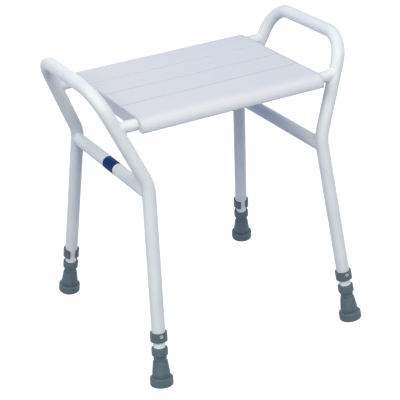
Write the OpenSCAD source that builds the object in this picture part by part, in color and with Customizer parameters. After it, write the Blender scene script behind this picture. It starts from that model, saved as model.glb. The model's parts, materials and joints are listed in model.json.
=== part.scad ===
// Height-adjustable shower stool: two bent-tube side frames with armrests, welded rails,
// a seat of four snap-on plastic slats, and four telescoping legs held by clips with pins.
// Origin: centre of the stool on the floor. X runs left to right, Y front to back, Z up.

/* [Frame tube] */
// Outer diameter of the side frame tube
frame_tube_d = 25.4; // [22:0.1:30]
// Wall of the side frame tube
frame_tube_wall = 1.4; // [1:0.1:2]
// Centreline radius of the bend at each knee
knee_bend_r = 72; // [50:1:100]
// Centreline radius of the bend at each end of an armrest
arm_bend_r = 59; // [40:1:66]
// Outer diameter of the two side rails
side_rail_d = 25; // [18:0.5:25]
// Wall of the side rails
side_rail_wall = 1.4; // [1:0.1:2]
// Outer diameter of the two rails that carry the seat
seat_rail_d = 22.2; // [19:0.1:22.6]
// Wall of the seat rails
seat_rail_wall = 1.5; // [1:0.1:2]

/* [Stance] */
// Half the distance between the left and right feet
foot_half_x = 215; // [200:0.5:235]
// Half the distance between the front and rear feet
foot_half_y = 213; // [195:0.5:230]
// Half the distance between the left and right knees
knee_half_x = 185.5; // [170:0.5:200]
// Half the distance between the front and rear knees
knee_half_y = 153; // [142:0.5:165]
// Height of the knees
knee_z = 382.5; // [370:0.5:400]
// Height of the side rails, just below the knees
side_rail_z = 366.5; // [320:0.5:368]
// Half the distance between the armrests
arm_half_x = 259; // [240:0.5:272]
// Half the length of an armrest, corner to corner
arm_half_y = 118; // [108:0.5:128]
// Height of the armrests
arm_z = 560.5; // [545:0.5:590]
// Height of the seat rails
seat_rail_z = 494; // [480:0.5:505]

/* [Seat] */
// Width of the seat across the stool
seat_w = 382; // [320:1:390]
// Width of a middle slat, joint to joint
slat_w = 68.5; // [58:0.5:72]
// Depth of the slats below the seat's top face
slat_h = 24.1; // [23.8:0.1:28]
// Skin of a slat above the rail that carries it
slat_skin = 2.4; // [2:0.1:3.5]
// Wall of a slat elsewhere, and of its webs
slat_wall = 2.2; // [1.6:0.1:3]
// Wall of a slat beside a joint, deep enough for the groove
joint_wall = 6; // [5.5:0.1:8]
// Length of the tongue on a slat's front edge
tongue_l = 3; // [2:0.1:3]
// Height of the tongue
tongue_h = 3.6; // [2.5:0.1:5]
// Gap left between two slats
slat_gap = 0.4; // [0.2:0.05:0.8]
// Chamfer along each slat's top edges
slat_chamfer = 1.1; // [0.6:0.1:1.8]
// How far the front nose reaches past the front rail's axis
front_reach = 25.2; // [24:0.1:30]
// How far the rear nose reaches past the rear rail's axis
rear_reach = 29; // [24:0.1:33]
// Radius of the rounded nose
nose_r = 18; // [14:0.5:20]
// Radius of the shallow crown that leads into the nose
crown_r = 45; // [30:1:60]
// Slope at which the crown meets the nose, in degrees
crown_slope = 15; // [8:1:20]
// Thickness of the plate that closes the slats at each end
end_cap_t = 3; // [2:0.1:5]
// Length of the plugs that hold an end cap in the slats
plug_l = 12; // [8:0.5:20]

/* [Telescoping legs] */
// Distance up the leg from the floor to the open end of the frame tube
tube_end_s = 97.5; // [96:0.5:98]
// Distance up the leg from the floor to the locking pin
pin_s = 102.5; // [102:0.5:104]
// Distance between two height settings
hole_pitch = 25; // [20:1:25]
// Number of height settings
settings = 7; // [3:1:7]
// Distance up the leg from the floor to the lower end of the extension tube
extension_start_s = 10; // [9:0.5:14]
// Length of the extension tube
extension_l = 328; // [290:1:330]
// Wall of the extension tube
extension_wall = 1.4; // [1:0.1:2]
// Radial clearance of the extension tube in the frame tube
slide_clearance = 0.1; // [0.05:0.01:0.15]

/* [Locking clip] */
// Diameter of the pin
pin_d = 5; // [4:0.1:5.6]
// Length of the pin
pin_l = 17; // [15:0.5:20]
// Diameter of the pin's head
head_d = 7.6; // [6:0.1:8]
// Thickness of the head, which sits in a seat in the clip
head_t = 1.2; // [0.8:0.1:1.8]
// Radial clearance of the pin in its holes
pin_clearance = 0.3; // [0.1:0.05:0.4]
// Height of the clip
clip_h = 17.3; // [15:0.1:18.5]
// How far the clip hangs below the pin, middle to middle
clip_drop = 3.6; // [1:0.1:4.4]
// Wall of the clip
clip_wall = 3.1; // [2.5:0.1:4]
// Radial clearance of the clip round the frame tube
clip_clearance = 0.4; // [0.3:0.05:0.8]
// Half the angle of the clip's mouth, in degrees
mouth_half = 29; // [15:1:35]
// Clockwise turn of the pins away from the fore-and-aft line, in degrees
pin_turn = 8; // [0:1:20]

/* [Ferrule] */
// Diameter of the ferrule's base
base_d = 44; // [40:0.5:48]
// Height of the base
base_h = 17; // [12:0.2:20]
// Radius of the base's lower edge
base_edge_r = 3.2; // [2:0.1:4]
// How far the tilted sole would reach below the floor before it is ground flat
sole_grind = 2.5; // [1.5:0.1:3.5]
// Diameter of the ferrule's body above the base
body_d = 33.6; // [31:0.2:36]
// Height above the sole where the body starts to taper
taper_start_h = 26.8; // [22:0.2:30]
// Height above the sole where the taper ends in a ledge
taper_end_h = 48; // [40:0.5:50]
// Diameter of the taper at the ledge
taper_end_d = 28; // [27:0.2:30]
// Wall of the rubber round the extension tube at the neck
neck_wall = 1.2; // [1:0.1:2]
// Height above the sole of the underside of the top collar
collar_start_h = 60; // [52:0.5:62]
// Height above the sole of the ferrule's top
ferrule_h = 76; // [72:0.5:78]
// Diameter of the top collar
collar_d = 31; // [28:0.5:33]
// Depth of the ring grooves in the sole
tread_depth = 1; // [0.5:0.1:1.5]
// Thickness of the steel washer under the extension tube
washer_t = 1.5; // [1:0.1:2]

/* [Label] */
// Length of the label on the left side rail
label_l = 50; // [30:1:80]
// Distance of the label's middle in front of the rail's middle
label_offset = 9; // [-40:1:40]
// Thickness of the label
label_t = 0.25; // [0.2:0.05:0.5]
// Angle round the rail where the label starts, over the rail's top, in degrees
label_start = 60; // [30:1:90]
// Angle that the label covers round the rail, in degrees
label_angle = 210; // [120:1:260]

/* [Hidden] */
ends = ["front_left", "front_right", "rear_left", "rear_right"];
$fn = 64;
eps = 0.5;

// Left is -1 and right is 1; front is -1 and rear is 1
LEFT = -1;
RIGHT = 1;
FRONT = -1;
REAR = 1;
leg_side = [LEFT, RIGHT, LEFT, RIGHT];
leg_end = [FRONT, FRONT, REAR, REAR];

function unit(v) = v / norm(v);
function mirrored(p, side, end) = [p[0] * side, p[1] * end, p[2]];

foot = [foot_half_x, foot_half_y, 0];
knee = [knee_half_x, knee_half_y, knee_z];
arm = [arm_half_x, arm_half_y, arm_z];
leg_axis = unit(knee - foot);

// A drawn bend comes out this much slimmer than the straight tube, which laps it
bend_draw = 0.02;
bend_lap = 0.4;
// A side rail meets its leg where the knee starts, and a longer lap leaves its end clean
cope_lap = 3;

// Where the lower leg passes the height of the side rails
side_rail_end = foot + (knee - foot) * side_rail_z / knee_z;

// Where the upper leg passes the height of the seat rails
seat_rail_t = (seat_rail_z - knee_z) / (arm_z - knee_z);
seat_rail_half_y = knee_half_y + (arm_half_y - knee_half_y) * seat_rail_t;
seat_rail_half_x = knee_half_x + (arm_half_x - knee_half_x) * seat_rail_t;

// Seat levels and the section of the edge slats, measured outwards from their joint
rail_fit = 0.2;
seat_top_z = seat_rail_z + seat_rail_d / 2 + rail_fit + slat_skin;
rail_u = seat_rail_half_y - slat_w;
rail_v = seat_rail_z - seat_top_z;
nose_v = -crown_r + (crown_r - nose_r) * cos(crown_slope);
function edge_w(end) = rail_u + (end == FRONT ? front_reach : rear_reach);
function nose_u(end) = edge_w(end) - nose_r;
slat_l = seat_w - 2 * end_cap_t;
channel_r = seat_rail_d / 2 + rail_fit;
// The channel's mouth is narrower than the rail, so that the slat snaps over it
mouth_share = 0.88;
channel_mouth = seat_rail_d * mouth_share;
crown_steps = 4;
nose_steps = 18;
nose_step = 5;
tongue_fit = 0.2;
plug_fit = 0.15;
label_glue = 0.05;

// No tube follows this direction, so it can square up any bar
off_axis = [0, 1, 0.3];

// Leg levels, all measured up the leg's axis from the floor
frame_bore_d = frame_tube_d - 2 * frame_tube_wall;
extension_d = frame_bore_d - 2 * slide_clearance;
sole_tilt_rise = base_d / 2 * sqrt(1 - leg_axis[2] * leg_axis[2]);
sole_s = (sole_tilt_rise - sole_grind) / leg_axis[2];
hole_d = pin_d + 2 * pin_clearance;
clip_bore_d = frame_tube_d + 2 * clip_clearance;
clip_d = clip_bore_d + 2 * clip_wall;
// The clip's rounded ends are this much slimmer than its wall
lip_slim = 0.2;
// The pin's head stands this far out of the clip's wall
head_rise = 0.4;
washer_fit = 0.15;
washer_hole_d = extension_d / 3;
// Width of the sole's ring grooves, and their radii as shares of the base's diameter
tread_w = 2;
tread_shares = [0.2, 0.36];

white_coat = [0.93, 0.94, 0.95];
seat_white = [0.88, 0.9, 0.93];
rubber_grey = [0.33, 0.38, 0.42];
steel_grey = [0.72, 0.73, 0.75];

// ---- Placement ----

// Matrix that puts the origin at o, +X along x and +Z along z
function place(o, x, z) =
  let (y = cross(z, x))
  [[x[0], y[0], z[0], o[0]], [x[1], y[1], z[1], o[1]], [x[2], y[2], z[2], o[2]], [0, 0, 0, 1]];

// Puts the children in a leg's own frame: origin on the floor, +Z up the leg, +X to the right
module on_leg(side, end) {
  z = mirrored(leg_axis, side, end);
  y = unit([0, 1, 0] - z * z[1]);
  multmatrix(place(mirrored(foot, side, end), cross(y, z), z))
    children();
}

// Turns the children so that +X points out of the leg along its pin
module along_pin(end) {
  rotate(end * 90 - pin_turn)
    children();
}

// Puts the children on a clip's pin: origin on the leg's axis, +X out of the leg
module on_pin(side, end) {
  on_leg(side, end)
    translate([0, 0, pin_s])
      along_pin(end)
        children();
}

// ---- Bent tube ----

function bend_angle(a, b, c) = acos(unit(b - a) * unit(c - b));
function setback(r, angle) = r * tan(angle / 2);

// Straight round bar from a to b
module bar(a, b, d) {
  z = unit(b - a);
  y = unit(off_axis - z * (z * off_axis));
  multmatrix(place(a, cross(y, z), z))
    cylinder(h = norm(b - a), d = d);
}

// Round bend of centreline radius r at the corner b of the path a, b, c
module bend(a, b, c, r, d) {
  along = unit(b - a);
  away = unit(c - b);
  angle = bend_angle(a, b, c);
  centre = b + unit(away - along) * r / cos(angle / 2);
  x = unit(b - along * setback(r, angle) - centre);
  multmatrix(place(centre, x, cross(x, along)))
    rotate_extrude(angle = angle)
      translate([r, 0])
        circle(d = d - bend_draw);
}

// Solid round bar along a path with a bend radius at each inner corner
module bent_bar(path, radii, d, lap) {
  last = len(path) - 1;
  backs = [for (i = [0:last]) i == 0 || i == last ? 0 :
    setback(radii[i], bend_angle(path[i - 1], path[i], path[i + 1])) - lap];
  for (i = [0:last - 1]) {
    along = unit(path[i + 1] - path[i]);
    bar(path[i] + along * backs[i], path[i + 1] - along * backs[i + 1], d);
  }
  for (i = [1:last - 1]) {
    bend(path[i - 1], path[i], path[i + 1], radii[i], d);
  }
}

// Outside of a side frame, solid: it also shapes the ends of the rails welded to it
module frame_outline(side, d = frame_tube_d, overrun = 0, lap = bend_lap) {
  start = foot + leg_axis * (tube_end_s - overrun);
  corners = [start, knee, arm];
  path = [for (i = [0:5]) mirrored(corners[i < 3 ? i : 5 - i], side, i < 3 ? FRONT : REAR)];
  radii = [0, knee_bend_r, arm_bend_r, arm_bend_r, knee_bend_r, 0];
  bent_bar(path, radii, d, lap);
}

// ---- Frame ----

module side_frame(side) {
  color(white_coat)
  difference() {
    frame_outline(side);
    frame_outline(side, frame_bore_d, eps);
    for (end = [FRONT, REAR])
      on_pin(side, end)
        rotate([0, 90, 0])
          cylinder(h = frame_tube_d, d = hole_d);
  }
}

module side_rail(side) {
  front = mirrored(side_rail_end, side, FRONT);
  rear = mirrored(side_rail_end, side, REAR);
  past = [0, eps, 0];
  color(white_coat)
  difference() {
    bar(front, rear, side_rail_d);
    bar(front - past, rear + past, side_rail_d - 2 * side_rail_wall);
    frame_outline(side, lap = cope_lap);
  }
}

module seat_rail(end) {
  left = [-seat_rail_half_x, end * seat_rail_half_y, seat_rail_z];
  right = [seat_rail_half_x, end * seat_rail_half_y, seat_rail_z];
  past = [eps, 0, 0];
  color(white_coat)
  difference() {
    bar(left, right, seat_rail_d);
    bar(left - past, right + past, seat_rail_d - 2 * seat_rail_wall);
    frame_outline(LEFT);
    frame_outline(RIGHT);
  }
}

// ---- Seat ----

// Stretches a section, drawn front-to-back in X and up in Y, across the stool about x = centre
module across(length, centre = 0) {
  translate([centre - length / 2, 0, seat_top_z])
    rotate([90, 0, 90])
      linear_extrude(length)
        children();
}

// Mirrors an edge section, drawn outwards from its joint, to the front or rear of the seat
module at_edge(end) {
  translate([end * slat_w, 0])
    mirror([end == FRONT ? 1 : 0, 0])
      children();
}

// Points on an arc, with the angle measured from straight up towards the outside
function arc(u, v, r, from, to, steps) =
  [for (i = [0:steps]) let (a = from + (to - from) * i / steps) [u + r * sin(a), v + r * cos(a)]];

// Angle at which the nose reaches the slat's underside, and the broken edge there
nose_end = 90 + asin((slat_h - slat_chamfer + nose_v) / nose_r);

// Edge slat's outline from the given distance past the joint, without its channel
module edge_outline(end, start) {
  crown_u = nose_u(end) - (crown_r - nose_r) * sin(crown_slope);
  lip_u = nose_u(end) + nose_r * sin(nose_end);
  polygon(concat(
    [[start, -slat_h], [start, 0]],
    arc(crown_u, -crown_r, crown_r, 0, crown_slope, crown_steps),
    arc(nose_u(end), nose_v, nose_r, crown_slope + nose_step, nose_end, nose_steps),
    [[lip_u - slat_chamfer, -slat_h]]
  ));
}

// Space for the seat rail, open downwards through a mouth
module rail_channel(mouth) {
  translate([rail_u, rail_v]) {
    circle(r = channel_r);
    translate([-mouth / 2, -slat_h])
      square([mouth, slat_h]);
  }
}

// A row of equal hollows between two walls, split by webs
module hollows(from, to, count, inset) {
  pitch = (to - from + slat_wall) / count;
  for (i = [0:count - 1])
    translate([from + i * pitch + inset, -slat_h + slat_wall + inset])
      square([pitch - slat_wall - 2 * inset, slat_h - slat_wall - slat_skin - 2 * inset]);
}

module middle_hollows(inset = 0) {
  hollows(joint_wall, slat_w - joint_wall, 2, inset);
}

module edge_hollows(end, inset = 0) {
  hollows(joint_wall, rail_u - channel_r - slat_wall, 2, inset);
  nose_wall_u = rail_u + channel_r + slat_wall + inset;
  intersection() {
    translate([nose_u(end), nose_v])
      circle(r = nose_r - slat_wall - inset);
    translate([nose_wall_u, -slat_h + slat_wall + inset])
      square([edge_w(end) - nose_wall_u, slat_h]);
  }
}

// Tongue on the front of a joint's rear slat, and the groove that takes it
module tongue(y) {
  across(slat_l)
    translate([y - tongue_l, -slat_h / 2 - tongue_h / 2])
      square([tongue_l + slat_gap, tongue_h]);
}

module groove(y) {
  fit = tongue_fit;
  translate([y + slat_gap - tongue_l - fit, -slat_h / 2 - tongue_h / 2 - fit])
    square([tongue_l + eps, tongue_h + 2 * fit]);
}

// Slopes off a slat's top edge at y, on the side given
module top_chamfer(y, side) {
  polygon([
    [y + side * eps, -slat_chamfer - eps],
    [y + side * eps, eps],
    [y - side * (slat_chamfer + eps), eps]
  ]);
}

module middle_slat(index) {
  y0 = index * slat_w + slat_gap / 2;
  y1 = (index + 1) * slat_w - slat_gap / 2;
  color(seat_white) {
    across(slat_l)
      difference() {
        translate([y0, -slat_h])
          square([y1 - y0, slat_h]);
        translate([index * slat_w, 0])
          middle_hollows();
        groove(y1);
        top_chamfer(y0, -1);
        top_chamfer(y1, 1);
      }
    tongue(y0);
  }
}

module edge_slat(end) {
  joint_y = end * (slat_w + slat_gap / 2);
  color(seat_white) {
    across(slat_l)
      difference() {
        at_edge(end)
          edge_outline(end, slat_gap / 2);
        at_edge(end)
          rail_channel(channel_mouth);
        at_edge(end)
          edge_hollows(end);
        if (end == FRONT)
          groove(joint_y);
        top_chamfer(joint_y, -end);
      }
    if (end == REAR)
      tongue(joint_y);
  }
}

// Plate over the slats' ends with a plug in each hollow, notched to drop over the rails
module end_cap(side) {
  color(seat_white) {
    across(end_cap_t, side * (seat_w - end_cap_t) / 2)
      difference() {
        union() {
          for (end = [FRONT, REAR])
            at_edge(end)
              edge_outline(end, -slat_w);
        }
        for (end = [FRONT, REAR])
          at_edge(end)
            rail_channel(2 * channel_r);
      }
    across(plug_l, side * (slat_l - plug_l) / 2) {
      for (end = [FRONT, REAR])
        at_edge(end)
          edge_hollows(end, plug_fit);
      for (index = [-1, 0])
        translate([index * slat_w, 0])
          middle_hollows(plug_fit);
    }
  }
}

// Plain label wrapped round the outside and underside of the left side rail
module side_label() {
  color([0.12, 0.24, 0.47])
  translate([-side_rail_end[0], label_l / 2 - label_offset, side_rail_z])
    rotate([90, 0, 0])
      rotate(label_start)
        rotate_extrude(angle = label_angle)
          translate([side_rail_d / 2 + label_glue, 0])
            square([label_t, label_l]);
}

// ---- Legs ----

module extension(side, end) {
  color(white_coat)
  on_leg(side, end)
    difference() {
      translate([0, 0, extension_start_s])
        cylinder(h = extension_l, d = extension_d);
      translate([0, 0, extension_start_s - eps])
        cylinder(h = extension_l + 2 * eps, d = extension_d - 2 * extension_wall);
      for (i = [0:settings - 1])
        translate([0, 0, pin_s + i * hole_pitch])
          along_pin(end)
            rotate([0, 90, 0])
              cylinder(h = extension_d, d = hole_d);
    }
}

// Half section of the rubber ferrule, without its bore
module ferrule_section() {
  neck_d = extension_d + 2 * neck_wall;
  top_round = 2.5;
  collar_h = ferrule_h - collar_start_h;
  ledge_h = 1.2;
  shoulder_h = 1.4;
  edge = [for (i = [0:6]) let (a = i * 15)
    [base_d / 2 - base_edge_r + base_edge_r * sin(a), base_edge_r - base_edge_r * cos(a)]];
  collar = [for (i = [0:10]) let (a = -90 + i * 18)
    [collar_d / 2 - top_round + top_round * cos(a),
     collar_start_h + collar_h / 2 + (collar_h / 2 - top_round) * sign(a) + top_round * sin(a)]];
  polygon(concat(
    [[0, 0]],
    edge,
    [
      [base_d / 2, base_h - shoulder_h],
      [base_d / 2 - shoulder_h, base_h],
      [body_d / 2, base_h + shoulder_h],
      [body_d / 2, taper_start_h],
      [taper_end_d / 2, taper_end_h],
      [neck_d / 2, taper_end_h + ledge_h],
      [neck_d / 2, collar_start_h]
    ],
    [for (p = collar) if (p[0] > neck_d / 2) p],
    [[0, ferrule_h]]
  ));
}

module ferrule(side, end) {
  washer_s = extension_start_s - washer_t;
  color(rubber_grey)
  difference() {
    on_leg(side, end)
      difference() {
        translate([0, 0, sole_s])
          rotate_extrude()
            ferrule_section();
        translate([0, 0, washer_s])
          cylinder(h = ferrule_h, d = extension_d);
        for (share = tread_shares)
          translate([0, 0, sole_s - eps])
            rotate_extrude()
              translate([base_d * share - tread_w / 2, 0])
                square([tread_w, tread_depth + eps]);
      }
    // The tilted sole is flat where it meets the floor
    translate([side * foot_half_x, end * foot_half_y, -base_d / 2])
      cube(base_d * [2, 2, 1], center = true);
  }
}

module washer(side, end) {
  color(steel_grey)
  on_leg(side, end)
    translate([0, 0, extension_start_s - washer_t])
      difference() {
        cylinder(h = washer_t, d = extension_d - 2 * washer_fit);
        translate([0, 0, -eps])
          cylinder(h = washer_t + 2 * eps, d = washer_hole_d);
      }
}

// A pin and its head, lying along +X and reaching into the leg
module pin_shape() {
  head_x = clip_d / 2 + head_rise - head_t;
  rotate([0, 90, 0]) {
    translate([0, 0, head_x - pin_l])
      cylinder(h = pin_l + eps, d = pin_d);
    translate([0, 0, head_x])
      cylinder(h = head_t, d = head_d);
  }
}

// Snap ring with rounded ends, whose mouth faces the middle of the stool
module clip(side, end) {
  mid_r = (clip_bore_d + clip_wall) / 2;
  color(rubber_grey)
  on_pin(side, end)
    difference() {
      translate([0, 0, -clip_drop - clip_h / 2])
        rotate(180 + mouth_half) {
          rotate_extrude(angle = 360 - 2 * mouth_half)
            translate([clip_bore_d / 2, 0])
              square([clip_wall, clip_h]);
          for (a = [0, -2 * mouth_half])
            rotate(a)
              translate([mid_r, 0, 0])
                cylinder(h = clip_h, d = clip_wall - lip_slim);
        }
      pin_shape();
    }
}

module clip_pin(side, end) {
  color(steel_grey)
  on_pin(side, end)
    pin_shape();
}

side_frame(LEFT);  // left_side_frame
side_frame(RIGHT);  // right_side_frame
side_rail(LEFT);  // left_side_rail
side_rail(RIGHT);  // right_side_rail
seat_rail(FRONT);  // front_seat_rail
seat_rail(REAR);  // rear_seat_rail
edge_slat(FRONT);  // front_slat
middle_slat(-1);  // front_middle_slat
middle_slat(0);  // rear_middle_slat
edge_slat(REAR);  // rear_slat
end_cap(LEFT);  // left_end_cap
end_cap(RIGHT);  // right_end_cap
side_label();
for (i = [0:3]) {
  extension(leg_side[i], leg_end[i]);
  ferrule(leg_side[i], leg_end[i]);
  washer(leg_side[i], leg_end[i]);
  clip(leg_side[i], leg_end[i]);
  clip_pin(leg_side[i], leg_end[i]);
}
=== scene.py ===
"""Dress the height-adjustable shower stool.

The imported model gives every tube, slat, ferrule and clip at its real size. This script finishes
their surfaces, lays the weld beads where the rails meet the side frames, and sets up the studio.
"""

import json
import logging
import math
from dataclasses import dataclass, field
from enum import Enum

import bpy
from mathutils import Matrix, Vector
from mathutils.bvhtree import BVHTree

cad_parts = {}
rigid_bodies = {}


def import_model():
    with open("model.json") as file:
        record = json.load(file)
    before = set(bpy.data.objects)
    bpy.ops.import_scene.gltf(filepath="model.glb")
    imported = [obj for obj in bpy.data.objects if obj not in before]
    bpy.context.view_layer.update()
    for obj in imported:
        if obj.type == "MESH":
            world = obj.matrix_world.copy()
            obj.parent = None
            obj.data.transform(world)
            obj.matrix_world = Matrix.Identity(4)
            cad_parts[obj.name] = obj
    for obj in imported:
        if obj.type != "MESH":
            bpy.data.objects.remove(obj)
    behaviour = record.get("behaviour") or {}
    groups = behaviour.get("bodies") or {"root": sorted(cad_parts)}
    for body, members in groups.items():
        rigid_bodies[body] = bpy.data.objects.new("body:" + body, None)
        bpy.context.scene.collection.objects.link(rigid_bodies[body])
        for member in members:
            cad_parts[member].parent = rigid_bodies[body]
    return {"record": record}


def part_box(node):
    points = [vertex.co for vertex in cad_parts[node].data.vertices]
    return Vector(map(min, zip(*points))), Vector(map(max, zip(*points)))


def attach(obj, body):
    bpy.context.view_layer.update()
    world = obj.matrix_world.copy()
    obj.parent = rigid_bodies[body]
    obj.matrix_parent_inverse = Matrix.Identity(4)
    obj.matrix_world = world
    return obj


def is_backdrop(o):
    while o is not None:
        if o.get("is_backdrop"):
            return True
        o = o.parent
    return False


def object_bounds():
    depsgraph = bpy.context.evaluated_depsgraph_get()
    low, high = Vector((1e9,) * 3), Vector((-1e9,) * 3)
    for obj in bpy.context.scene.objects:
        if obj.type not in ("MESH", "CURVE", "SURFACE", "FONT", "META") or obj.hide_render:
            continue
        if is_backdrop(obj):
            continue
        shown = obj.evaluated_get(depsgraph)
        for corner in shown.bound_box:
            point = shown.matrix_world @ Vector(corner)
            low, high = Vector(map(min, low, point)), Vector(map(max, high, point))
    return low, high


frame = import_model()

LOG = logging.getLogger("shower_stool")
MM = 0.001
Colour = tuple[float, float, float, float]
WHITE: Colour = (1.0, 1.0, 1.0, 1.0)
NOISE_LOW, NOISE_HIGH = 0.3, 0.7  # nearly all of a noise's values lie between these
BEVEL_SAMPLES = 6
CREASE_SAMPLES = 8


class Corner(Enum):
    """The four legs of the stool."""

    FRONT_LEFT = "front_left"
    FRONT_RIGHT = "front_right"
    REAR_LEFT = "rear_left"
    REAR_RIGHT = "rear_right"


class Grain(Enum):
    """How the fine texture of a finish is stretched, as a scale along X, Y and Z."""

    EVEN = (1.0, 1.0, 1.0)
    ALONG_SEAT = (0.01, 1.0, 1.0)


def linear(red: int, green: int, blue: int) -> Colour:
    """Turn a display colour into the linear colour that a shader wants.

    Args:
        red: Red, from 0 to 255.
        green: Green, from 0 to 255.
        blue: Blue, from 0 to 255.

    Returns:
        The linear colour with full alpha.
    """

    def channel(value: int) -> float:
        """Undo the display curve on one channel."""
        part = value / 255
        return part / 12.92 if part <= 0.04045 else ((part + 0.055) / 1.055) ** 2.4

    return (channel(red), channel(green), channel(blue), 1.0)


# ---- Finishes ----


class Shader:
    """A material's node tree, built one step at a time."""

    def __init__(self, name: str) -> None:
        """Start an opaque material with a principled shader.

        Args:
            name: Name of the material.
        """
        self.material = bpy.data.materials.new(name)
        self.material.use_nodes = True
        self.nodes = self.material.node_tree.nodes
        self.links = self.material.node_tree.links
        self.principled = self.nodes["Principled BSDF"]
        self.coordinates = self.nodes.new("ShaderNodeTexCoord").outputs["Object"]

    def set(self, **values: float) -> None:
        """Set constants on the principled shader, with underscores for the spaces in their names."""
        for key, value in values.items():
            self.principled.inputs[key.replace("_", " ")].default_value = value

    def noise(self, size: float, detail: float = 2.0, grain: Grain = Grain.EVEN) -> bpy.types.NodeSocket:
        """Add a noise pattern.

        Args:
            size: Size of a speck, in metres.
            detail: Number of finer octaves.
            grain: How the specks are stretched.

        Returns:
            The noise's value, from about 0 to 1.
        """
        mapping = self.nodes.new("ShaderNodeMapping")
        mapping.inputs["Scale"].default_value = grain.value
        texture = self.nodes.new("ShaderNodeTexNoise")
        texture.inputs["Scale"].default_value = 1 / size
        texture.inputs["Detail"].default_value = detail
        self.links.new(self.coordinates, mapping.inputs["Vector"])
        self.links.new(mapping.outputs["Vector"], texture.inputs["Vector"])
        return texture.outputs["Fac"]

    def blend(self, value: bpy.types.NodeSocket, stops: list[tuple[float, Colour]]) -> bpy.types.NodeSocket:
        """Turn a value into a colour along a ramp.

        Args:
            value: Value from 0 to 1.
            stops: The ramp's two places and their colours.

        Returns:
            The colour.
        """
        ramp = self.nodes.new("ShaderNodeValToRGB")
        for element, (place, colour) in zip(ramp.color_ramp.elements, stops):
            element.position = place
            element.color = colour
        self.links.new(value, ramp.inputs["Fac"])
        return ramp.outputs["Color"]

    def paint(self, noise: bpy.types.NodeSocket, dark: Colour, light: Colour) -> None:
        """Colour the surface from dark to light along a noise.

        Args:
            noise: The noise's value.
            dark: Colour where the noise is low.
            light: Colour where the noise is high.
        """
        self.colour(self.two_tone(noise, dark, light))

    def two_tone(self, noise: bpy.types.NodeSocket, dark: Colour, light: Colour) -> bpy.types.NodeSocket:
        """Turn a noise into a colour between two tones.

        Args:
            noise: The noise's value.
            dark: Colour where the noise is low.
            light: Colour where the noise is high.

        Returns:
            The colour.
        """
        return self.blend(noise, [(NOISE_LOW, dark), (NOISE_HIGH, light)])

    def colour(self, value: bpy.types.NodeSocket) -> None:
        """Use a colour as the surface's own."""
        self.links.new(value, self.principled.inputs["Base Color"])

    def roughen(self, noise: bpy.types.NodeSocket, smooth: float, rough: float) -> None:
        """Let the roughness follow a noise.

        Args:
            noise: The noise's value.
            smooth: Roughness where the noise is low.
            rough: Roughness where the noise is high.
        """
        self.links.new(self.spread(noise, smooth, rough), self.principled.inputs["Roughness"])

    def spread(self, value: bpy.types.NodeSocket, low: float, high: float) -> bpy.types.NodeSocket:
        """Stretch the middle of a noise to run from low to high.

        Args:
            value: The noise's value.
            low: Result where the noise is low.
            high: Result where the noise is high.

        Returns:
            The stretched value.
        """
        spread = self.nodes.new("ShaderNodeMapRange")
        spread.inputs["From Min"].default_value = NOISE_LOW
        spread.inputs["From Max"].default_value = NOISE_HIGH
        spread.inputs["To Min"].default_value = low
        spread.inputs["To Max"].default_value = high
        self.links.new(value, spread.inputs["Value"])
        return spread.outputs["Result"]

    def mix(
        self, share: bpy.types.NodeSocket, base: bpy.types.NodeSocket, other: Colour
    ) -> bpy.types.NodeSocket:
        """Mix a colour into another.

        Args:
            share: How much of the other colour shows, from 0 to 1.
            base: The first colour.
            other: The colour mixed in.

        Returns:
            The mixed colour.
        """
        node = self.nodes.new("ShaderNodeMix")
        node.data_type = "RGBA"
        self.links.new(share, node.inputs["Factor"])
        self.links.new(base, node.inputs["A"])
        node.inputs["B"].default_value = other
        return node.outputs["Result"]

    def crease(self, reach: float, strength: float) -> bpy.types.NodeSocket:
        """Tell how deep in a crease a point is, as the mask for painted shade.

        Args:
            reach: How far off another surface may be, in metres.
            strength: How fast the result rises as the surroundings close in.

        Returns:
            0 in the open, rising to 1 in a tight crease.
        """
        node = self.nodes.new("ShaderNodeAmbientOcclusion")
        node.samples = CREASE_SAMPLES
        node.inputs["Distance"].default_value = reach
        less_open = self.calculate("SUBTRACT", node.outputs["AO"], 1.0)
        darkness = self.calculate("MULTIPLY", less_open, -strength)
        return self.calculate("MINIMUM", darkness, 1.0)

    def split(self, axis: str) -> bpy.types.NodeSocket:
        """Read one of the Object coordinates.

        Args:
            axis: X, Y or Z.

        Returns:
            The coordinate, in metres.
        """
        parts = self.nodes.new("ShaderNodeSeparateXYZ")
        self.links.new(self.coordinates, parts.inputs["Vector"])
        return parts.outputs[axis]

    def calculate(
        self, operation: str, value: bpy.types.NodeSocket, other: float | bpy.types.NodeSocket = 0.0
    ) -> bpy.types.NodeSocket:
        """Add a Math node.

        Args:
            operation: Name of the operation.
            value: First value.
            other: Second value, a number or another socket.

        Returns:
            The result.
        """
        node = self.nodes.new("ShaderNodeMath")
        node.operation = operation
        self.links.new(value, node.inputs[0])
        if isinstance(other, bpy.types.NodeSocket):
            self.links.new(other, node.inputs[1])
        else:
            node.inputs[1].default_value = other
        return node.outputs[0]

    def bump(self, heights: list[tuple[bpy.types.NodeSocket, float]], edge: float = 0.0) -> None:
        """Give the surface relief.

        Args:
            heights: Patterns and how deep each one is, in metres.
            edge: Radius that sharp edges seem to have, in metres.
        """
        normal = None
        if edge > 0:
            rounding = self.nodes.new("ShaderNodeBevel")
            rounding.samples = BEVEL_SAMPLES
            rounding.inputs["Radius"].default_value = edge
            normal = rounding.outputs["Normal"]
        for value, depth in heights:
            bump = self.nodes.new("ShaderNodeBump")
            bump.inputs["Distance"].default_value = depth
            self.links.new(value, bump.inputs["Height"])
            if normal is not None:
                self.links.new(normal, bump.inputs["Normal"])
            normal = bump.outputs["Normal"]
        self.links.new(normal, self.principled.inputs["Normal"])


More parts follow.
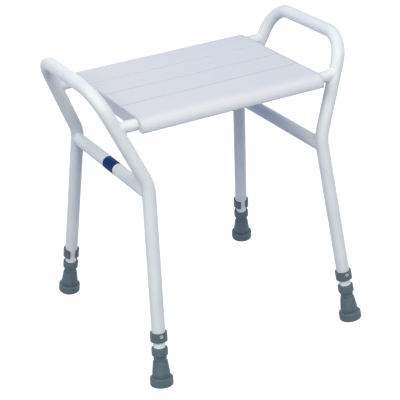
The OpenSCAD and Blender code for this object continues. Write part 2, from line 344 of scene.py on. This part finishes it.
@dataclass(frozen=True)
class PowderCoat:
    """White powder coat over steel tube, with a slight orange peel."""

    name: str
    light: Colour = linear(232, 235, 241)
    dark: Colour = linear(224, 228, 236)
    cloud_size: float = 60 * MM
    peel_size: float = 1.6 * MM
    peel_depth: float = 0.03 * MM

    def material(self) -> bpy.types.Material:
        """Build the material."""
        shader = Shader(self.name)
        shader.paint(shader.noise(self.cloud_size), self.dark, self.light)
        peel = shader.noise(self.peel_size, detail=3.0)
        shader.set(Specular_IOR_Level=0.3)
        shader.roughen(peel, smooth=0.36, rough=0.46)
        shader.bump([(peel, self.peel_depth)])
        return shader.material


@dataclass(frozen=True)
class SlatPlastic:
    """White extruded plastic with faint draw lines along the seat, with painted shade in the joints between
    slats.
    """

    name: str
    edge: float
    joint_pitch: float = 0.0
    light: Colour = linear(223, 223, 232)
    dark: Colour = linear(219, 219, 230)
    # Painted shade: this grey darkens the joints between slats in place of the shade in their grooves.
    joint: Colour = linear(176, 178, 190)
    joint_shade_half: float = 2 * MM
    line_width: float = 2.2 * MM
    line_depth: float = 0.01 * MM
    matt_size: float = 0.7 * MM
    matt_depth: float = 0.012 * MM

    def material(self) -> bpy.types.Material:
        """Build the material."""
        shader = Shader(self.name)
        lines = shader.noise(self.line_width, detail=3.0, grain=Grain.ALONG_SEAT)
        plain = shader.two_tone(lines, self.dark, self.light)
        if self.joint_pitch > 0:
            # Painted shade mixed into the colour along the joints between slats.
            plain = shader.mix(self.joint_shade_mask(shader), plain, self.joint)
        shader.colour(plain)
        matt = shader.noise(self.matt_size)
        shader.set(Specular_IOR_Level=0.3)
        shader.roughen(matt, smooth=0.46, rough=0.56)
        shader.bump([(lines, self.line_depth), (matt, self.matt_depth)], edge=self.edge)
        return shader.material

    def joint_shade_mask(self, shader: Shader) -> bpy.types.NodeSocket:
        """Tell where the painted shade in the joints between two slats falls, by how near a point is to a
        joint.

        Args:
            shader: The material's node tree.

        Returns:
            1 in a joint, falling to 0 beside it and over the front and rear noses.
        """
        depth = shader.split("Y")
        nearest = shader.calculate("PINGPONG", depth, self.joint_pitch / 2)
        beside = shader.nodes.new("ShaderNodeMapRange")
        beside.inputs["From Min"].default_value = 0
        beside.inputs["From Max"].default_value = self.joint_shade_half
        beside.inputs["To Min"].default_value = 1
        beside.inputs["To Max"].default_value = 0
        shader.links.new(nearest, beside.inputs["Value"])
        # The joints lie in the seat's middle and one pitch to either side, so the painted shade stops past
        # those.
        past_last = 1.5 * self.joint_pitch
        inner = shader.calculate("LESS_THAN", shader.calculate("ABSOLUTE", depth), past_last)
        return shader.calculate("MULTIPLY", beside.outputs["Result"], inner)


@dataclass(frozen=True)
class MouldedGrey:
    """Grey moulded rubber or plastic with a fine tooled grain, with painted shade darkening its creases."""

    name: str
    light: Colour
    dark: Colour
    roughness: float
    grain_size: float
    grain_depth: float
    # Painted shade: the dark colour laid into creases in place of their shade.
    crease_shade: Colour = linear(30, 44, 54)
    crease_reach: float = 6 * MM
    crease_strength: float = 1.3
    cloud_size: float = 9 * MM
    roughness_play: float = 0.06
    edge: float = 0.4 * MM

    def material(self) -> bpy.types.Material:
        """Build the material."""
        shader = Shader(self.name)
        plain = shader.two_tone(shader.noise(self.cloud_size, detail=4.0), self.dark, self.light)
        crease = shader.crease(self.crease_reach, self.crease_strength)
        # Painted shade: ambient occlusion darkens the colour in creases, such as under the ferrule's ring.
        shader.colour(shader.mix(crease, plain, self.crease_shade))
        grain = shader.noise(self.grain_size, detail=3.0)
        shader.roughen(grain, self.roughness - self.roughness_play, self.roughness + self.roughness_play)
        shader.bump([(grain, self.grain_depth)], edge=self.edge)
        return shader.material


@dataclass(frozen=True)
class PlatedSteel:
    """Zinc-plated steel with fine turning marks."""

    name: str
    light: Colour = linear(148, 162, 168)
    dark: Colour = linear(128, 142, 150)
    mark_size: float = 0.8 * MM
    mark_depth: float = 0.01 * MM

    def material(self) -> bpy.types.Material:
        """Build the material."""
        shader = Shader(self.name)
        shader.set(Metallic=1.0)
        marks = shader.noise(self.mark_size, detail=3.0)
        shader.paint(marks, self.dark, self.light)
        shader.roughen(marks, smooth=0.28, rough=0.4)
        shader.bump([(marks, self.mark_depth)])
        return shader.material


# ---- Studio ----


@dataclass
class StudioCamera:
    """Long lens to the left of the stool's front, looking down on the seat."""

    position: Vector = field(default_factory=lambda: Vector((-1.06747, -2.00014, 1.34402)))
    heading: float = math.radians(28.06)
    pitch: float = math.radians(25.97)
    roll: float = math.radians(-2.90)
    lens: float = 113.90

    def build(self) -> None:
        """Add the camera and make it the scene's own."""
        forward = Vector(
            (
                math.sin(self.heading) * math.cos(self.pitch),
                math.cos(self.heading) * math.cos(self.pitch),
                -math.sin(self.pitch),
            )
        )
        level = Vector((math.cos(self.heading), -math.sin(self.heading), 0))
        upright = level.cross(forward)
        right = math.cos(self.roll) * level + math.sin(self.roll) * upright
        up = -math.sin(self.roll) * level + math.cos(self.roll) * upright
        data = bpy.data.cameras.new("studio_camera")
        data.lens = self.lens
        camera = bpy.data.objects.new("studio_camera", data)
        turn = Matrix((right, up, -forward)).transposed().to_4x4()
        camera.matrix_world = Matrix.Translation(self.position) @ turn
        bpy.context.collection.objects.link(camera)
        bpy.context.scene.camera = camera


class Tint(Enum):
    """Colours of the lamps, which balance the cool surround."""

    WARM = (1.0, 0.88, 0.57)
    WARMER = (1.0, 0.8, 0.5)
    AMBER = (1.0, 0.76, 0.36)


@dataclass
class SoftLamp:
    """A square soft box aimed at the stool."""

    name: str
    position: Vector
    power: float
    size: float = 1.6
    colour: Tint = Tint.WARM
    target: Vector = field(default_factory=lambda: Vector((0, 0, 0.35)))

    def build(self) -> None:
        """Add the lamp."""
        data = bpy.data.lights.new(self.name, "AREA")
        data.energy = self.power
        data.size = self.size
        data.color = self.colour.value
        lamp = bpy.data.objects.new(self.name, data)
        aim = (self.target - self.position).to_track_quat("-Z", "Y")
        lamp.matrix_world = Matrix.Translation(self.position) @ aim.to_matrix().to_4x4()
        bpy.context.collection.objects.link(lamp)


@dataclass
class Studio:
    """Pale floor, pale surround and soft boxes."""

    floor_half: float = 6.0
    floor_tone: float = 0.35
    floor_glow: float = 0.9
    glow_rise_start: float = 1.0
    glow_rise_end: float = 2.6
    surround: Colour = (0.1, 0.42, 1.0, 1.0)
    surround_strength: float = 0.5
    lamps: list[SoftLamp] = field(
        default_factory=lambda: [
            SoftLamp("front_lamp", Vector((-0.3, -2.9, 2.7)), power=62),
            SoftLamp("left_high_lamp", Vector((-2.3, -0.8, 2.8)), power=36),
            SoftLamp("top_lamp", Vector((0.0, 0.0, 3.2)), power=10, size=2.0, colour=Tint.AMBER),
            SoftLamp("right_front_lamp", Vector((1.8, -2.6, 2.2)), power=17),
            SoftLamp("high_lamp", Vector((-0.9, -1.9, 3.3)), power=11, size=1.2),
            SoftLamp("left_lamp", Vector((-3.0, 0.3, 1.8)), power=22),
            SoftLamp("rear_lamp", Vector((0.6, 3.0, 0.7)), power=15, colour=Tint.WARMER),
            SoftLamp("right_lamp", Vector((3.0, 0.3, 0.7)), power=15, colour=Tint.WARMER),
        ]
    )

    def build(self) -> None:
        """Add the surround, the floor, the lamps and the camera."""
        self.light_surround()
        self.lay_floor()
        for lamp in self.lamps:
            lamp.build()
        StudioCamera().build()
        bpy.context.scene.view_settings.view_transform = "Standard"

    def seen_by_rays(self, nodes: bpy.types.Nodes, links: bpy.types.NodeLinks) -> bpy.types.NodeSocket:
        """Tell the rays that show the surround from those that only carry its light.

        Args:
            nodes: Nodes of the tree.
            links: Links of the tree.

        Returns:
            1 for camera, glossy and transmission rays, and 0 for the rest.
        """
        path = nodes.new("ShaderNodeLightPath")
        total = path.outputs["Is Camera Ray"]
        for name in ("Is Glossy Ray", "Is Transmission Ray"):
            either = nodes.new("ShaderNodeMath")
            either.operation = "MAXIMUM"
            links.new(total, either.inputs[0])
            links.new(path.outputs[name], either.inputs[1])
            total = either.outputs[0]
        return total

    def light_surround(self) -> None:
        """Make the surround white where it shows and a soft cool light elsewhere."""
        world = bpy.data.worlds.new("surround")
        bpy.context.scene.world = world
        world.use_nodes = True
        nodes, links = world.node_tree.nodes, world.node_tree.links
        fill = nodes["Background"]
        fill.inputs["Color"].default_value = self.surround
        fill.inputs["Strength"].default_value = self.surround_strength
        shown = nodes.new("ShaderNodeBackground")
        shown.inputs["Color"].default_value = WHITE
        mix = nodes.new("ShaderNodeMixShader")
        links.new(self.seen_by_rays(nodes, links), mix.inputs["Fac"])
        links.new(fill.outputs[0], mix.inputs[1])
        links.new(shown.outputs[0], mix.inputs[2])
        links.new(mix.outputs[0], nodes["World Output"].inputs["Surface"])

    def whiter_far_off(self, nodes: bpy.types.Nodes, links: bpy.types.NodeLinks) -> bpy.types.NodeSocket:
        """Let the floor turn pure white away from the stool, where the lamps no longer reach it.

        Args:
            nodes: Nodes of the tree.
            links: Links of the tree.

        Returns:
            The floor's glow, from floor_glow near the stool to 1 far off.
        """
        place = nodes.new("ShaderNodeTexCoord")
        distance = nodes.new("ShaderNodeVectorMath")
        distance.operation = "LENGTH"
        links.new(place.outputs["Object"], distance.inputs[0])
        glow = nodes.new("ShaderNodeMapRange")
        glow.inputs["From Min"].default_value = self.glow_rise_start
        glow.inputs["From Max"].default_value = self.glow_rise_end
        glow.inputs["To Min"].default_value = self.floor_glow
        links.new(distance.outputs["Value"], glow.inputs["Value"])
        return glow.outputs["Result"]

    def floor_height(self) -> float:
        """Find the height at which the floor lies just under the legs at their longest.

        Returns:
            The height, in metres.
        """
        drops = [joint["axis"][2] * joint["range_m"][1] for joint in frame["record"]["behaviour"]["joints"]]
        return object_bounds()[0][2] + min(drops)

    def lay_floor(self) -> None:
        """Lay a pale floor that shows as white and keeps the stool's shadow."""
        bpy.ops.mesh.primitive_plane_add(size=2 * self.floor_half, location=(0, 0, self.floor_height()))
        floor = bpy.context.object
        floor.name = "floor"
        material = bpy.data.materials.new("pale_floor")
        material.use_nodes = True
        nodes, links = material.node_tree.nodes, material.node_tree.links
        nodes.clear()
        paint = nodes.new("ShaderNodeBsdfDiffuse")
        paint.inputs["Color"].default_value = (self.floor_tone, self.floor_tone, self.floor_tone, 1.0)
        glow = nodes.new("ShaderNodeEmission")
        glow.inputs["Color"].default_value = WHITE
        shade = nodes.new("ShaderNodeMath")
        shade.operation = "MULTIPLY"
        links.new(self.seen_by_rays(nodes, links), shade.inputs[0])
        links.new(self.whiter_far_off(nodes, links), shade.inputs[1])
        links.new(shade.outputs[0], glow.inputs["Strength"])
        both = nodes.new("ShaderNodeAddShader")
        links.new(paint.outputs[0], both.inputs[0])
        links.new(glow.outputs[0], both.inputs[1])
        output = nodes.new("ShaderNodeOutputMaterial")
        links.new(both.outputs[0], output.inputs["Surface"])
        floor.data.materials.append(material)
        floor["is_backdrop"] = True


# ---- The stool ----


def dress(node: str, material: bpy.types.Material) -> None:
    """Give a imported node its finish.

    Args:
        node: Name of the node.
        material: The finish.
    """
    part = bpy.data.objects[node]
    part.data.materials.clear()
    part.data.materials.append(material)
    LOG.info("%s: %s", node, material.name)


@dataclass
class WeldBead:
    """Rippled fillet laid in the corner where a rail's coped end meets a side frame."""

    rail: str
    tube: BVHTree
    end: Vector
    leg: float = 5.5 * MM
    ripple: float = 0.12 * MM
    ripple_points: int = 4
    points: int = 160  # round the rail
    steps: int = 6  # across the fillet
    reach: float = 24 * MM  # how far along the rail its cope may run
    wall_play: float = 0.3 * MM  # how far under the rail's radius still counts as its outer wall
    same_corner: float = 0.001 * MM
    same_point: float = 0.01 * MM
    cope_angle: float = math.radians(30)
    smooth_angle: float = math.radians(50)

    def build(self, name: str, material: bpy.types.Material) -> None:
        """Lay the bead along the rail's cope.

        Args:
            name: Name of the bead.
            material: The finish.
        """
        low, high = (Vector(corner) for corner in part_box(self.rail))
        centre = (low + high) / 2
        longest = max(range(3), key=lambda axis: high[axis] - low[axis])
        along = Vector([1.0 if axis == longest else 0.0 for axis in range(3)])
        inwards = along * (1 if (centre - self.end).dot(along) > 0 else -1)
        rings = []
        for index, corner in enumerate(self.cope_loop(centre, along)):
            outwards = corner - centre
            outwards = (outwards - outwards.dot(along) * along).normalized()
            on_rail = corner + inwards * self.leg
            on_tube = self.tube.find_nearest(corner + outwards * self.leg)[0]
            swell = self.ripple * math.sin(math.pi * index / self.ripple_points) ** 2
            lift = (outwards + inwards).normalized() * swell
            ring = [corner]
            for step in range(self.steps + 1):
                t = step / self.steps
                point = on_rail * (1 - t) ** 2 + corner * 2 * t * (1 - t) + on_tube * t**2
                ring.append(point + lift * math.sin(math.pi * t))
            rings.append(ring)
        self.skin(name, rings, material)

    def cope_loop(self, centre: Vector, along: Vector) -> list[Vector]:
        """Trace the outer edge of the rail's coped end.

        Args:
            centre: Middle of the rail.
            along: Direction of the rail's axis.

        Returns:
            Points round the edge, evenly spaced.
        """
        bpy.ops.object.select_all(action="DESELECT")
        trace = bpy.data.objects.new("cope_trace", bpy.data.objects[self.rail].data.copy())
        bpy.context.collection.objects.link(trace)
        bpy.context.view_layer.objects.active = trace
        trace.select_set(True)
        bpy.ops.object.mode_set(mode="EDIT")
        bpy.ops.mesh.select_all(action="SELECT")
        bpy.ops.mesh.remove_doubles(threshold=self.same_corner)
        bpy.ops.mesh.select_all(action="DESELECT")
        bpy.ops.mesh.select_mode(type="EDGE")
        bpy.ops.mesh.edges_select_sharp(sharpness=self.cope_angle)
        bpy.ops.object.mode_set(mode="OBJECT")
        offs = [point.co - centre for point in trace.data.vertices]
        radii = [(off - off.dot(along) * along).length for off in offs]
        outside = max(radii) - self.wall_play

        def on_cope(index: int) -> bool:
            """Tell whether a vertex is on the outer edge of this end of the rail."""
            gap = abs((offs[index] + centre - self.end).dot(along))
            return radii[index] > outside and gap < self.reach

        for edge in trace.data.edges:
            edge.select = edge.select and all(on_cope(index) for index in edge.vertices)
        bpy.ops.object.mode_set(mode="EDIT")
        bpy.ops.mesh.select_all(action="INVERT")
        bpy.ops.mesh.delete(type="EDGE_FACE")
        bpy.ops.mesh.select_all(action="SELECT")
        bpy.ops.mesh.delete_loose(use_verts=True, use_edges=False, use_faces=False)
        bpy.ops.object.mode_set(mode="OBJECT")
        bpy.ops.object.convert(target="CURVE")
        traced = bpy.context.object
        spline = max(traced.data.splines, key=lambda item: len(item.points))
        corners = [Vector(point.co[:3]) for point in spline.points]
        bpy.ops.object.delete()
        return self.respace(corners)

    def respace(self, corners: list[Vector]) -> list[Vector]:
        """Space points evenly round a closed line.

        Args:
            corners: Corners of the line.

        Returns:
            The spaced points.
        """
        ends = corners[1:] + corners[:1]
        lengths = [(end - start).length for start, end in zip(corners, ends)]
        spaced, side, passed = [], 0, 0.0
        for index in range(self.points):
            goal = sum(lengths) * index / self.points
            while passed + lengths[side] < goal:
                passed += lengths[side]
                side += 1
            share = (goal - passed) / max(lengths[side], self.same_corner)
            spaced.append(corners[side].lerp(ends[side], share))
        return spaced

    def skin(self, name: str, rings: list[list[Vector]], material: bpy.types.Material) -> None:
        """Close the rings into one smooth bead.

        Args:
            name: Name of the bead.
            rings: Cross-sections in order round the rail.
            material: The finish.
        """
        size, count = len(rings[0]), len(rings)
        faces = [
            (
                ring * size + place,
                ring * size + (place + 1) % size,
                (ring + 1) % count * size + (place + 1) % size,
                (ring + 1) % count * size + place,
            )
            for ring in range(count)
            for place in range(size)
        ]
        mesh = bpy.data.meshes.new(name)
        mesh.from_pydata([point for ring in rings for point in ring], [], faces)
        bead = bpy.data.objects.new(name, mesh)
        bpy.context.collection.objects.link(bead)
        bpy.ops.object.select_all(action="DESELECT")
        bpy.context.view_layer.objects.active = bead
        bead.select_set(True)
        bpy.ops.object.mode_set(mode="EDIT")
        bpy.ops.mesh.select_all(action="SELECT")
        bpy.ops.mesh.remove_doubles(threshold=self.same_point)
        bpy.ops.mesh.normals_make_consistent(inside=False)
        bpy.ops.object.mode_set(mode="OBJECT")
        bpy.ops.object.shade_smooth_by_angle(angle=self.smooth_angle)
        mesh.materials.append(material)
        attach(bead, "frame")
        LOG.info("%s: %d faces", name, len(mesh.polygons))


@dataclass
class WeldedFrame:
    """Side frames, side rails and seat rails, all in one coat."""

    coat: PowderCoat = PowderCoat("frame_powder_coat")
    nodes: tuple[str, ...] = (
        "left_side_frame",
        "right_side_frame",
        "left_side_rail",
        "right_side_rail",
        "front_seat_rail",
        "rear_seat_rail",
    )

    def build(self) -> None:
        """Dress the tubes and lay the weld beads."""
        material = self.coat.material()
        for node in self.nodes:
            dress(node, material)
        view = bpy.context.evaluated_depsgraph_get()
        left, right = (BVHTree.FromObject(bpy.data.objects[side], view) for side in self.nodes[:2])
        for rail in self.nodes[2:]:
            for word, end in zip(("first", "second"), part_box(rail)):
                tube = left if end[0] < 0 else right
                WeldBead(rail, tube, Vector(end)).build(f"{rail}_{word}_weld", material)


@dataclass
class Seat:
    """Four extruded slats and the two caps that close their ends."""

    slats: tuple[str, ...] = ("front_slat", "front_middle_slat", "rear_middle_slat", "rear_slat")
    caps: tuple[str, ...] = ("left_end_cap", "right_end_cap")
    slat_edge: float = 1.5 * MM
    cap_edge: float = 3 * MM

    def build(self) -> None:
        """Dress the slats and the caps."""
        # The middle slats meet on the X axis, so the rear one's far edge lies one pitch from it.
        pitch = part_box("rear_middle_slat")[1][1]
        for nodes, finish in (
            (self.slats, SlatPlastic("slat_plastic", self.slat_edge, pitch)),
            (self.caps, SlatPlastic("end_cap_plastic", self.cap_edge)),
        ):
            material = finish.material()
            for node in nodes:
                dress(node, material)


@dataclass
class Legs:
    """Extension tubes, ferrules and locking clips of the four legs."""

    # Painted light: a brighter copy of the white coat, lightened to stand in for light where the clip and
    # ferrule shade the extension tube.
    coat: PowderCoat = PowderCoat("extension_coat_painted_light", linear(246, 248, 252), linear(240, 243, 248))
    rubber: MouldedGrey = MouldedGrey(
        "ferrule_rubber",
        light=linear(90, 108, 119),
        dark=linear(78, 96, 107),
        roughness=0.6,
        grain_size=0.6 * MM,
        grain_depth=0.03 * MM,
    )
    plastic: MouldedGrey = MouldedGrey(
        "clip_plastic",
        light=linear(80, 97, 106),
        dark=linear(74, 91, 100),
        roughness=0.48,
        grain_size=0.4 * MM,
        grain_depth=0.015 * MM,
    )
    steel: PlatedSteel = PlatedSteel("plated_steel")

    def build(self) -> None:
        """Dress each leg's pieces."""
        finishes = {
            "extension": self.coat.material(),
            "ferrule": self.rubber.material(),
            "washer": self.steel.material(),
            "clip": self.plastic.material(),
        }
        finishes["clip_pin"] = finishes["washer"]
        for corner in Corner:
            for piece, material in finishes.items():
                dress(f"{corner.value}_{piece}", material)


@dataclass
class Label:
    """Blank film round the left side rail: a navy field between pale margins."""

    navy: Colour = linear(0, 52, 114)
    pale: Colour = linear(236, 240, 246)
    margin: float = 4 * MM

    def build(self) -> None:
        """Dress the label."""
        shader = Shader("label_film")
        low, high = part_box("side_label")
        middle = (low[1] + high[1]) / 2
        field_half = (high[1] - low[1]) / 2 - self.margin
        from_middle = shader.calculate("SUBTRACT", shader.split("Y"), middle)
        off = shader.calculate("ABSOLUTE", from_middle)
        inside = shader.calculate("LESS_THAN", off, field_half)
        shader.colour(shader.blend(inside, [(0.0, self.pale), (1.0, self.navy)]))
        shader.set(Roughness=0.5, Specular_IOR_Level=0.06)
        dress("side_label", shader.material)


def main() -> None:
    """Build the studio and dress the stool, piece by piece."""
    logging.basicConfig(level=logging.INFO, format="%(message)s")
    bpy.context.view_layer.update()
    Studio().build()
    for assembly in (WeldedFrame(), Seat(), Legs(), Label()):
        assembly.build()


if __name__ == "__main__":
    main()
